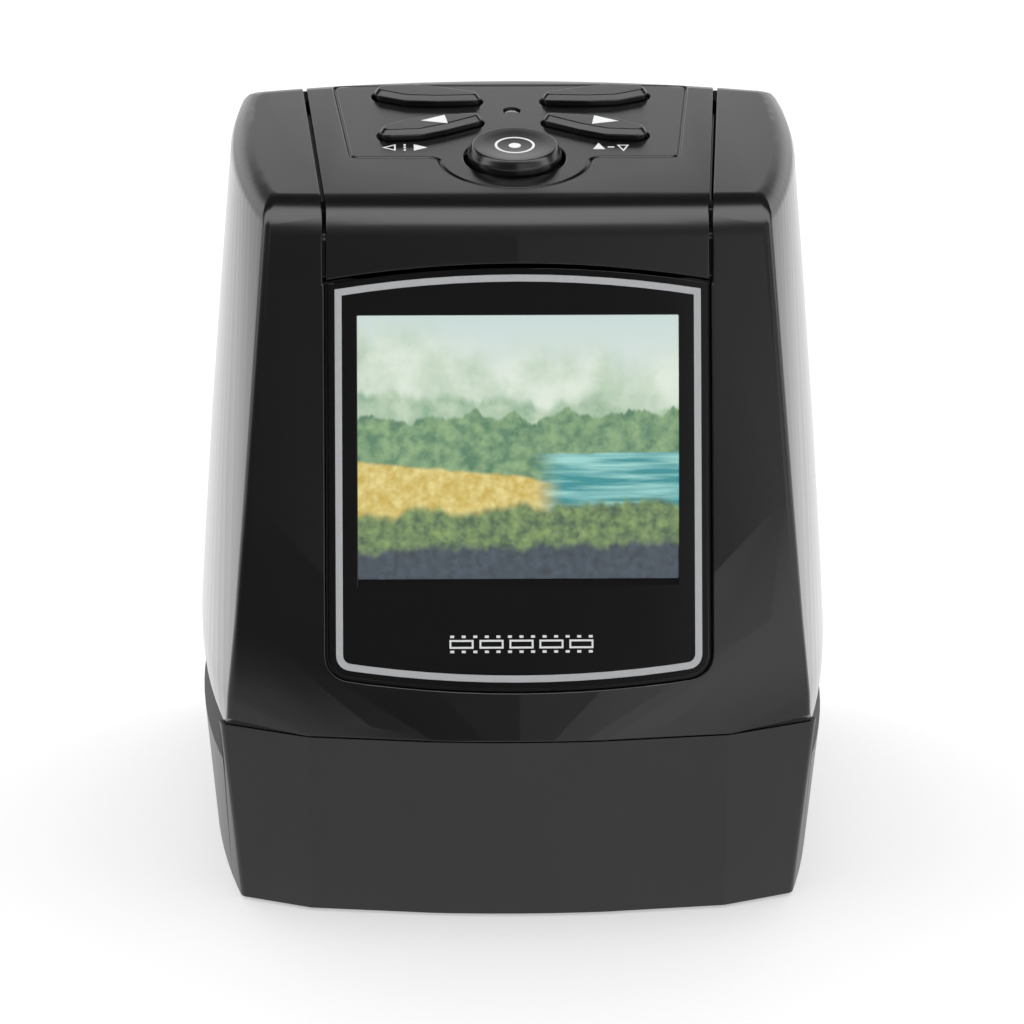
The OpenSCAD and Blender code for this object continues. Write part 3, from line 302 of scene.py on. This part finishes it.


# ---- Gap shade blocks -----------------------------------------------------------
# A black block stands in for the shade in each gap beside the top cover, between the end
# of the housing's rail and the rounded rear edge, and keeps light out there.

gap_shade_black = grained("black block, painted gap shade", "#0b0b0c", "#131314", 0.3, 0.8, 0.9, IOR=1.45)
gap_turn = 4.33                 # degrees that each gap runs outwards towards the rear
shade_block_size = (0.00054, 0.0039, 0.003)    # across the gap, along it and down into it
# Painted shade: a black block sits in each gap where the shade should be.
for name, side in (("left_gap_shade_block", -1), ("right_gap_shade_block", 1)):
    bpy.ops.object.select_all(action="DESELECT")
    bpy.ops.mesh.primitive_cube_add(size=1)
    shade_block = bpy.context.object
    bpy.ops.object.mode_set(mode="EDIT")
    bpy.ops.mesh.select_all(action="SELECT")
    bpy.ops.transform.resize(value=shade_block_size, center_override=(0, 0, 0))
    bpy.ops.mesh.bevel(offset=0.0001, segments=2)
    bpy.ops.object.mode_set(mode="OBJECT")
    settle([shade_block], name, on_top(side * 29.5, 40.2, -2.5, -side * gap_turn), gap_shade_black, "housing")


# ---- Screen ---------------------------------------------------------------------
# A colour liquid crystal behind a clear acrylic window. It shows a plain landscape:
# a pale sky, hazy trees, a yellow meadow, a lake and a dark bank.

paint(cad["lcd_window"], wiped("PMMA, clear window", 0.0, 0.03, Base_Color=linear("#f6f8f8"), IOR=1.49,
                               Transmission_Weight=1.0))

screen, tree, shader = start_material("liquid crystal, lit", Base_Color=linear("#101214"), Roughness=0.3,
                                      IOR=1.5)
place = add(tree, "ShaderNodeTexCoord").outputs["Object"]
# The picture's own plane: x across and y up, one unit for its height of 35.8 mm.
picture = add(tree, "ShaderNodeMapping",
              {"Rotation": (math.radians(-front_tilt), 0, 0), "Scale": (27.93,) * 3,
               "Location": (0.6145, -0.912, 0)},
              {"Vector": place})
split = add(tree, "ShaderNodeSeparateXYZ", links={0: picture.outputs[0]})
across = split.outputs["X"]
up = split.outputs["Y"]


def ridge(height, tilt, swing, spacing, seed, soft):
    """A mask that is 1 below a hill line of that height, tilt and swing."""
    step = add(tree, "ShaderNodeMath", {1: spacing, 2: seed}, {0: across}, operation="MULTIPLY_ADD")
    wave = add(tree, "ShaderNodeTexNoise", {"Scale": 1.0, "Detail": 4.0, "Roughness": 0.55},
               {"W": step.outputs[0]}, noise_dimensions="1D")
    line = add(tree, "ShaderNodeMath", {1: swing, 2: height - swing / 2}, {0: wave.outputs["Fac"]},
               operation="MULTIPLY_ADD")
    slope = add(tree, "ShaderNodeMath", {1: tilt}, {0: across, 2: line.outputs[0]}, operation="MULTIPLY_ADD")
    gap = add(tree, "ShaderNodeMath", links={0: slope.outputs[0], 1: up}, operation="SUBTRACT")
    mask = add(tree, "ShaderNodeMapRange", {"From Min": -soft, "From Max": soft}, {"Value": gap.outputs[0]},
               interpolation_type="SMOOTHSTEP")
    return mask.outputs[0]


def mottled(dark, light, scale, seed):
    """A colour that wanders between two, as leaves and grass do."""
    shift = add(tree, "ShaderNodeMapping", {"Location": (seed, seed * 0.7, 0)},
                {"Vector": picture.outputs[0]})
    leaves = add(tree, "ShaderNodeTexNoise", {"Scale": scale, "Detail": 5.0, "Roughness": 0.6},
                 {"Vector": shift.outputs[0]})
    sharper = add(tree, "ShaderNodeMapRange", {"From Min": 0.35, "From Max": 0.65},
                  {"Value": leaves.outputs["Fac"]})
    return add(tree, "ShaderNodeMix", {6: linear(dark), 7: linear(light)}, {0: sharper.outputs[0]},
               data_type="RGBA").outputs[2]


def over(mask, under, top):
    """The top colour laid over another where the mask is 1."""
    return add(tree, "ShaderNodeMix", links={0: mask, 6: under, 7: top}, data_type="RGBA").outputs[2]


height = add(tree, "ShaderNodeMapRange", {"From Min": 0.5, "From Max": 1.0}, {"Value": up})
sky = add(tree, "ShaderNodeMix", {6: linear("#f2f4ea"), 7: linear("#cfe0dc")}, {0: height.outputs[0]},
          data_type="RGBA").outputs[2]
layer = over(ridge(0.93, -0.12, 0.35, 3.0, 4.0, 0.10), sky, mottled("#b9d0b4", "#e6efe0", 5.0, 2.0))
layer = over(ridge(0.70, -0.05, 0.16, 5.0, 9.0, 0.02), layer, mottled("#8fb392", "#c6d8bd", 9.0, 5.0))
layer = over(ridge(0.60, 0.02, 0.14, 8.0, 21.0, 0.008), layer, mottled("#4e7d5c", "#8fb07c", 22.0, 7.0))
meadow = over(ridge(0.44, -0.10, 0.05, 3.0, 31.0, 0.01), layer, mottled("#cfae3e", "#ecd98a", 26.0, 11.0))
water_mask = add(tree, "ShaderNodeMapRange", {"From Min": 0.66, "From Max": 0.80}, {"Value": across},
                 interpolation_type="SMOOTHSTEP")
water_edge = add(tree, "ShaderNodeMath", operation="MULTIPLY",
                 links={0: water_mask.outputs[0], 1: ridge(0.47, 0.0, 0.02, 3.0, 3.0, 0.006)})
streak = add(tree, "ShaderNodeMapping", {"Scale": (3.0, 40.0, 1.0)}, {"Vector": picture.outputs[0]})
ripple = add(tree, "ShaderNodeTexNoise", {"Scale": 1.0, "Detail": 4.0}, {"Vector": streak.outputs[0]})
glint = add(tree, "ShaderNodeMapRange", {"From Min": 0.42, "From Max": 0.68},
            {"Value": ripple.outputs["Fac"]})
lake = add(tree, "ShaderNodeMix", {6: linear("#1f8f93"), 7: linear("#9fdad4")}, {0: glint.outputs[0]},
           data_type="RGBA").outputs[2]
layer = over(water_edge.outputs[0], meadow, lake)
layer = over(ridge(0.23, 0.05, 0.12, 6.0, 41.0, 0.02), layer, mottled("#3a5a3a", "#86a05c", 24.0, 17.0))
layer = over(ridge(0.10, 0.02, 0.10, 9.0, 55.0, 0.02), layer, mottled("#1c2630", "#3c4c5c", 30.0, 23.0))
tree.links.new(layer, shader.inputs["Emission Color"])
shader.inputs["Emission Strength"].default_value = 1.0
paint(cad["lcd_panel"], screen)


# ---- Keys -----------------------------------------------------------------------
# The keys are smoother mouldings than the cover, so they shine more at their rims.
# Marks are pad printed: an arrowhead on each front leaf, a ring and a dot on the
# round key, and small signs for mirroring and turning a picture beside it.

key_edge = 0.00015
key_abs = moulded_abs("black ABS, fine grain", "#0c0c0d", "#101011", 0.24, 0.25, 2)
for node, body in (("scan_button", "scan_key"), ("left_button", "left_key"), ("right_button", "right_key"),
                   ("rear_left_button", "rear_left_key"), ("rear_right_button", "rear_right_key")):
    key = fine_copy(node, node.replace("button", "cap"), key_edge, body)
    paint(key, key_abs)

settle([printed(3, (3.6, 3.0), turn=90)], "left_arrow_print", on_top(-10.6, 25.9, 1.44, 8),
       white_ink, "left_key")
settle([printed(3, (3.6, 3.0), turn=-90)], "right_arrow_print", on_top(12.5, 25.6, 1.44, -8),
       white_ink, "right_key")
settle([printed(48, (5.6, 5.6), rim=0.35)], "scan_ring_print", on_top(0, 16.0, 1.80),
       white_ink, "scan_key")
settle([printed(32, (1.7, 1.7))], "scan_dot_print", on_top(0, 16.0, 1.74),
       white_ink, "scan_key")
mirror_sign = [printed(3, (1.9, 2.2), (-1.9, 0), 90, rim=0.22), printed(3, (1.9, 2.2), (1.9, 0), -90)]
mirror_sign += [printed(4, (0.3, 0.55), (0, 0.85 * i), 45) for i in (-1, 0, 1)]
settle(mirror_sign, "mirror_print", on_top(-15.3, 19.4, -0.005), white_ink, "housing")
flip_sign = [printed(3, (1.7, 2.2), (-1.7, 0)), printed(3, (1.7, 2.2), (1.7, 0), 180, rim=0.22),
             printed(4, (0.9, 0.35), (0, 0), 45)]
settle(flip_sign, "flip_print", on_top(13.6, 19.4, -0.005), white_ink, "housing")

# The light pipe ends in a polished dome below the cover's face.
clear = grained("polycarbonate, clear", "#e9eff2", "#f6fafb", 3.0, 0.02, 0.08, IOR=1.58,
                Transmission_Weight=0.85)
bpy.ops.object.select_all(action="DESELECT")
bpy.ops.mesh.primitive_uv_sphere_add(segments=32, ring_count=16, radius=0.00115)
dome = bpy.context.object
bpy.ops.object.mode_set(mode="EDIT")
bpy.ops.mesh.select_all(action="SELECT")
bpy.ops.mesh.bisect(plane_co=(0, 0, 0), plane_no=(0, 0, 1), clear_inner=True, use_fill=True)
bpy.ops.mesh.select_all(action="SELECT")
bpy.ops.transform.resize(value=(1, 1, 0.35), center_override=(0, 0, 0))
bpy.ops.object.mode_set(mode="OBJECT")
settle([dome], "light_pipe_dome", on_top(0, 32.3, -0.5), clear, "housing")
bpy.ops.object.shade_smooth_by_angle(angle=math.radians(40))
paint(cad["light_pipe"], clear)
paint(cad["status_led"], grained("white LED, phosphor", "#d8dc9a", "#f0f0c8", 0.3, 0.3, 0.5))

paint(cad["key_switches"], grained("PBT, black", "#141414", "#1e1e1e", 0.4, 0.4, 0.55, IOR=1.55))
acetal = grained("acetal, white", "#dcdcd6", "#ecece8", 0.5, 0.3, 0.42, IOR=1.48, Subsurface_Weight=0.1,
                 Subsurface_Scale=0.001)
for node in ("scan_plunger", "left_plunger", "right_plunger", "rear_left_plunger", "rear_right_plunger"):
    paint(cad[node], acetal)


# ---- Circuit boards ----------------------------------------------------------------
# Glass-fibre boards in green solder mask with copper tracks showing faintly through
# it, black epoxy packages, and a polyimide ribbon from the main board to the screen.

mask, tree, shader = start_material("FR4, green solder mask", Roughness=0.35, IOR=1.55)
place = add(tree, "ShaderNodeTexCoord").outputs["Object"]
lines = add(tree, "ShaderNodeTexWave",
            {"Scale": 350.0, "Distortion": 9.0, "Detail": 1.0, "Detail Scale": 0.4},
            {"Vector": place}, wave_type="BANDS", bands_direction="DIAGONAL")
copper = add(tree, "ShaderNodeMapRange", {"From Min": 0.72, "From Max": 0.8}, {"Value": lines.outputs["Fac"]})
tint = add(tree, "ShaderNodeMix", {6: linear("#0f4a28"), 7: linear("#2c7a48")}, {0: copper.outputs[0]},
           data_type="RGBA")
step = add(tree, "ShaderNodeBump", {"Strength": 0.4, "Distance": 0.00003}, {"Height": copper.outputs[0]})
tree.links.new(tint.outputs[2], shader.inputs["Base Color"])
tree.links.new(step.outputs[0], shader.inputs["Normal"])
for node in ("main_board", "key_board", "io_board", "sensor_board"):
    paint(cad[node], mask)
paint(cad["backlight_board"], grained("aluminium board, white mask", "#e2e2de", "#f0f0ee", 0.6, 0.35, 0.5))
paint(cad["main_chips"], grained("epoxy, moulding compound", "#121213", "#1f1f20", 0.15, 0.5, 0.68, IOR=1.55))
paint(cad["lcd_ribbon"], grained("polyimide film", "#8a4b12", "#a8641e", 1.5, 0.22, 0.34, IOR=1.7))
paint(cad["backlight_leds"], grained("LED package, phosphor", "#e6d98e", "#f4eec2", 0.4, 0.35, 0.5))


# ---- Sockets at the rear --------------------------------------------------------------
# A small USB socket and a memory card socket, both stamped from nickel-plated steel,
# each with a row of gold-plated contacts on the tongue inside it.

nickel = grained("steel, nickel plated", "#a7a59f", "#c6c4bd", 0.8, 0.2, 0.33, Metallic=1.0)
for node in ("usb_socket", "card_socket", "lcd_bracket"):
    paint(cad[node], nickel)
gold = grained("copper alloy, gold plated", "#c9a24a", "#e0bd68", 0.4, 0.18, 0.28, Metallic=1.0)


rear_tilt = 77.22


def on_tongue(u, v, w):
    """A place on top of a socket's tongue: v up the rear, w out of it, u to the left seen from the front."""
    return (Matrix.Rotation(math.radians(180), 4, "Z")
            @ on_surface(-half_depth, parting_height, rear_tilt, u, v, w)
            @ Matrix.Rotation(math.radians(-90), 4, "X"))


for name, u, v, w, pins, pitch, length in (("usb_contacts", 12, 18.42, -6.3, 5, 1.0, 6.0),
                                           ("card_contacts", -8, 17.58, -14.6, 9, 1.8, 3.6)):
    row = [printed(4, (0.5 * pitch, length), ((i - (pins - 1) / 2) * pitch, 0), 45) for i in range(pins)]
    settle(row, name, on_tongue(u, v, w), gold, "housing")


# ---- Film slot ----------------------------------------------------------------------
# The film holder runs between two glass-filled rails. A sprung pin clicks into it at
# every frame.

glass_filled = grained("PC, glass filled, dark grey", "#1d1e1f", "#292a2b", 0.25, 0.42, 0.56, IOR=1.58)
paint(cad["film_track_lower"], glass_filled)
paint(cad["film_track_upper"], glass_filled)
paint(cad["detent_pin"], acetal)
coils, tree, shader = start_material("spring steel, wound, shade painted between turns", Metallic=1.0)
place = add(tree, "ShaderNodeTexCoord").outputs["Object"]
turns = add(tree, "ShaderNodeTexWave", {"Scale": 330.0}, {"Vector": place}, wave_type="BANDS",
            bands_direction="Y")
# The colour runs from dark between the turns to the steel's own grey on their crests: the dark is painted
# shade between the turns.
tint = add(tree, "ShaderNodeMix", {6: linear("#3c3d40"), 7: linear("#b4b6ba")}, {0: turns.outputs["Fac"]},
           data_type="RGBA")
polish = add(tree, "ShaderNodeMapRange", {"To Min": 0.45, "To Max": 0.25}, {"Value": turns.outputs["Fac"]})
round_wire = add(tree, "ShaderNodeBump", {"Strength": 0.6, "Distance": 0.0003},
                 {"Height": turns.outputs["Fac"]})
tree.links.new(tint.outputs[2], shader.inputs["Base Color"])
tree.links.new(polish.outputs[0], shader.inputs["Roughness"])
tree.links.new(round_wire.outputs[0], shader.inputs["Normal"])
# The spring, which shortens as the pin slides back against it, gets a mesh of its own.
spring = fine_copy("detent_spring", "detent_coil", 0.00005, "housing")
paint(spring, coils)
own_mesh(spring)


# ---- Light below the film, lens and sensor above it ---------------------------------
# White LEDs shine through an opal plate in a white box. The tower is matt black inside
# and out against stray light, and holds a turned aluminium lens barrel.

paint(cad["backlight_housing"], grained("PC, white", "#dcdcd8", "#ebebe8", 0.5, 0.4, 0.52, IOR=1.58))
opal = grained("PMMA, opal", "#eceeee", "#f8fafa", 2.0, 0.42, 0.52, IOR=1.49, Subsurface_Weight=0.4,
               Subsurface_Scale=0.002)
paint(cad["diffuser_plate"], opal)
paint(cad["lcd_backlight"], opal)
paint(cad["optics_tower"], grained("PC, matt black", "#0e0e0f", "#161617", 0.3, 0.62, 0.78, IOR=1.58))
paint(cad["lens_barrel"], grained("aluminium, black anodised", "#101113", "#1c1d20", 0.12, 0.3, 0.45,
                                  Metallic=0.6))
paint(cad["lens_elements"], grained("glass, coated", "#eef4f2", "#f8fbfa", 4.0, 0.0, 0.02, IOR=1.52,
                                    Transmission_Weight=1.0))
paint(cad["image_sensor"], grained("silicon under glass", "#1a2630", "#2c4152", 0.8, 0.08, 0.16, IOR=1.6))


# ---- Floor, backdrop and lamps -----------------------------------------------------
# A white sweep. The camera sees it white. Black plastic shows little but what it
# reflects, so the room is a studio: a white wall low behind the object, dark above
# it, a wide soft box overhead and in front, and a dim room behind the camera that
# is brighter to the right.

bpy.ops.mesh.primitive_plane_add(size=4, location=(0, 0, 0))
floor = bpy.context.object
floor.name = "floor"
white, tree, shader = start_material("white paper sweep", Base_Color=linear("#f4f4f4"), Roughness=0.9)
place = add(tree, "ShaderNodeTexCoord").outputs["Object"]
fibres = add(tree, "ShaderNodeTexNoise", {"Scale": 900.0}, {"Vector": place})
tint = add(tree, "ShaderNodeMix", {6: linear("#f2f2f2"), 7: linear("#f6f6f6")}, {0: fibres.outputs["Fac"]},
           data_type="RGBA")
tree.links.new(tint.outputs[2], shader.inputs["Base Color"])
# For reflected rays the floor glows instead of being lit, brighter behind the object than in front: painted
# light, seen only in reflections.
ahead = add(tree, "ShaderNodeSeparateXYZ", links={0: place})
near = add(tree, "ShaderNodeMapRange", {"From Min": -0.05, "From Max": 0.06, "To Min": 0.8, "To Max": 1.6},
           {"Value": ahead.outputs["Y"]})
far = add(tree, "ShaderNodeMapRange", {"From Min": 0.3, "From Max": 0.9, "To Min": 1.6, "To Max": 1.05},
          {"Value": ahead.outputs["Y"]})
mirrored = add(tree, "ShaderNodeMath", links={0: near.outputs[0], 1: far.outputs[0]}, operation="MINIMUM")
rays = add(tree, "ShaderNodeLightPath")
strength = add(tree, "ShaderNodeMix", {2: 1.0}, {0: rays.outputs["Is Glossy Ray"], 3: mirrored.outputs[0]},
               data_type="FLOAT")
glow = add(tree, "ShaderNodeEmission", {"Color": (1, 1, 1, 1)}, {"Strength": strength.outputs[0]})
seen = add(tree, "ShaderNodeMath", operation="MAXIMUM",
           links={0: rays.outputs["Is Camera Ray"], 1: rays.outputs["Is Transmission Ray"]})
# The camera sees this share of the floor as plain white and the rest as lit paper.
plain_share = 0.45
part = add(tree, "ShaderNodeMath", {1: plain_share}, {0: seen.outputs[0]}, operation="MULTIPLY")
share = add(tree, "ShaderNodeMath", links={0: part.outputs[0], 1: rays.outputs["Is Glossy Ray"]},
            operation="MAXIMUM")
mixed = add(tree, "ShaderNodeMixShader",
            links={0: share.outputs[0], 1: shader.outputs[0], 2: glow.outputs[0]})
tree.links.new(mixed.outputs[0], tree.nodes["Material Output"].inputs["Surface"])
paint(floor, white)

world = bpy.data.worlds.new("studio")
bpy.context.scene.world = world
world.use_nodes = True
tree = world.node_tree
tree.nodes.clear()
rays = add(tree, "ShaderNodeLightPath")
seen = add(tree, "ShaderNodeMath", operation="MAXIMUM",
           links={0: rays.outputs["Is Camera Ray"], 1: rays.outputs["Is Transmission Ray"]})
way = add(tree, "ShaderNodeTexCoord")
parts = add(tree, "ShaderNodeSeparateXYZ", links={0: way.outputs["Generated"]})
# How far round overhead a direction lies: 0 straight back, 0.5 straight up, 1 in front.
turned = add(tree, "ShaderNodeMath", operation="ARCTAN2",
             links={0: parts.outputs["Z"], 1: parts.outputs["Y"]})
round_top = add(tree, "ShaderNodeMath", {1: math.pi}, {0: turned.outputs[0]}, operation="DIVIDE")
softbox = add(tree, "ShaderNodeValToRGB", links={0: round_top.outputs[0]})
# A wall low behind, dark above it, the soft box overhead and in front, then the dim room.
levels = [(0.0, 1.05), (0.05, 1.4), (0.165, 1.4), (0.195, 0.06), (0.50, 0.06), (0.54, 2.9), (0.75, 2.9),
          (0.80, 0.07)]
brightest = 3.0                 # the ramp holds colours up to 1, so its levels are shares of this
while len(softbox.color_ramp.elements) < len(levels):
    softbox.color_ramp.elements.new(0.5)
for stop, (position, level) in zip(softbox.color_ramp.elements, levels):
    stop.position = position
    stop.color = (level / brightest,) * 3 + (1,)
# The dim front of the room is brighter to the right of the camera.
right = add(tree, "ShaderNodeMapRange", {"From Min": 0.04, "From Max": 0.16, "To Max": 1.15},
            {"Value": parts.outputs["X"]}, interpolation_type="SMOOTHSTEP")
front = add(tree, "ShaderNodeMapRange", {"From Min": 0.84, "From Max": 0.88}, {"Value": round_top.outputs[0]})
beside = add(tree, "ShaderNodeMath", links={0: right.outputs[0], 1: front.outputs[0]}, operation="MULTIPLY")
level = add(tree, "ShaderNodeMath", {1: brightest}, {0: softbox.outputs["Color"], 2: beside.outputs[0]},
            operation="MULTIPLY_ADD")
# Plain soft light falls on everything, a little more of it from behind.
plain = add(tree, "ShaderNodeMapRange", {"From Min": -0.6, "From Max": 0.6, "To Min": 0.6, "To Max": 2.1},
            {"Value": parts.outputs["Y"]})
lit = add(tree, "ShaderNodeMix", data_type="FLOAT",
          links={0: rays.outputs["Is Diffuse Ray"], 2: level.outputs[0], 3: plain.outputs[0]})
room = add(tree, "ShaderNodeBackground", {"Color": (1, 1, 1, 1)}, {"Strength": lit.outputs[0]})
paper = add(tree, "ShaderNodeBackground", {"Color": (1, 1, 1, 1), "Strength": 1.0})
sky = add(tree, "ShaderNodeMixShader", links={0: seen.outputs[0], 1: room.outputs[0], 2: paper.outputs[0]})
add(tree, "ShaderNodeOutputWorld", links={"Surface": sky.outputs[0]})
world.cycles.sampling_method = "NONE"

bpy.context.scene.view_settings.view_transform = "Standard"
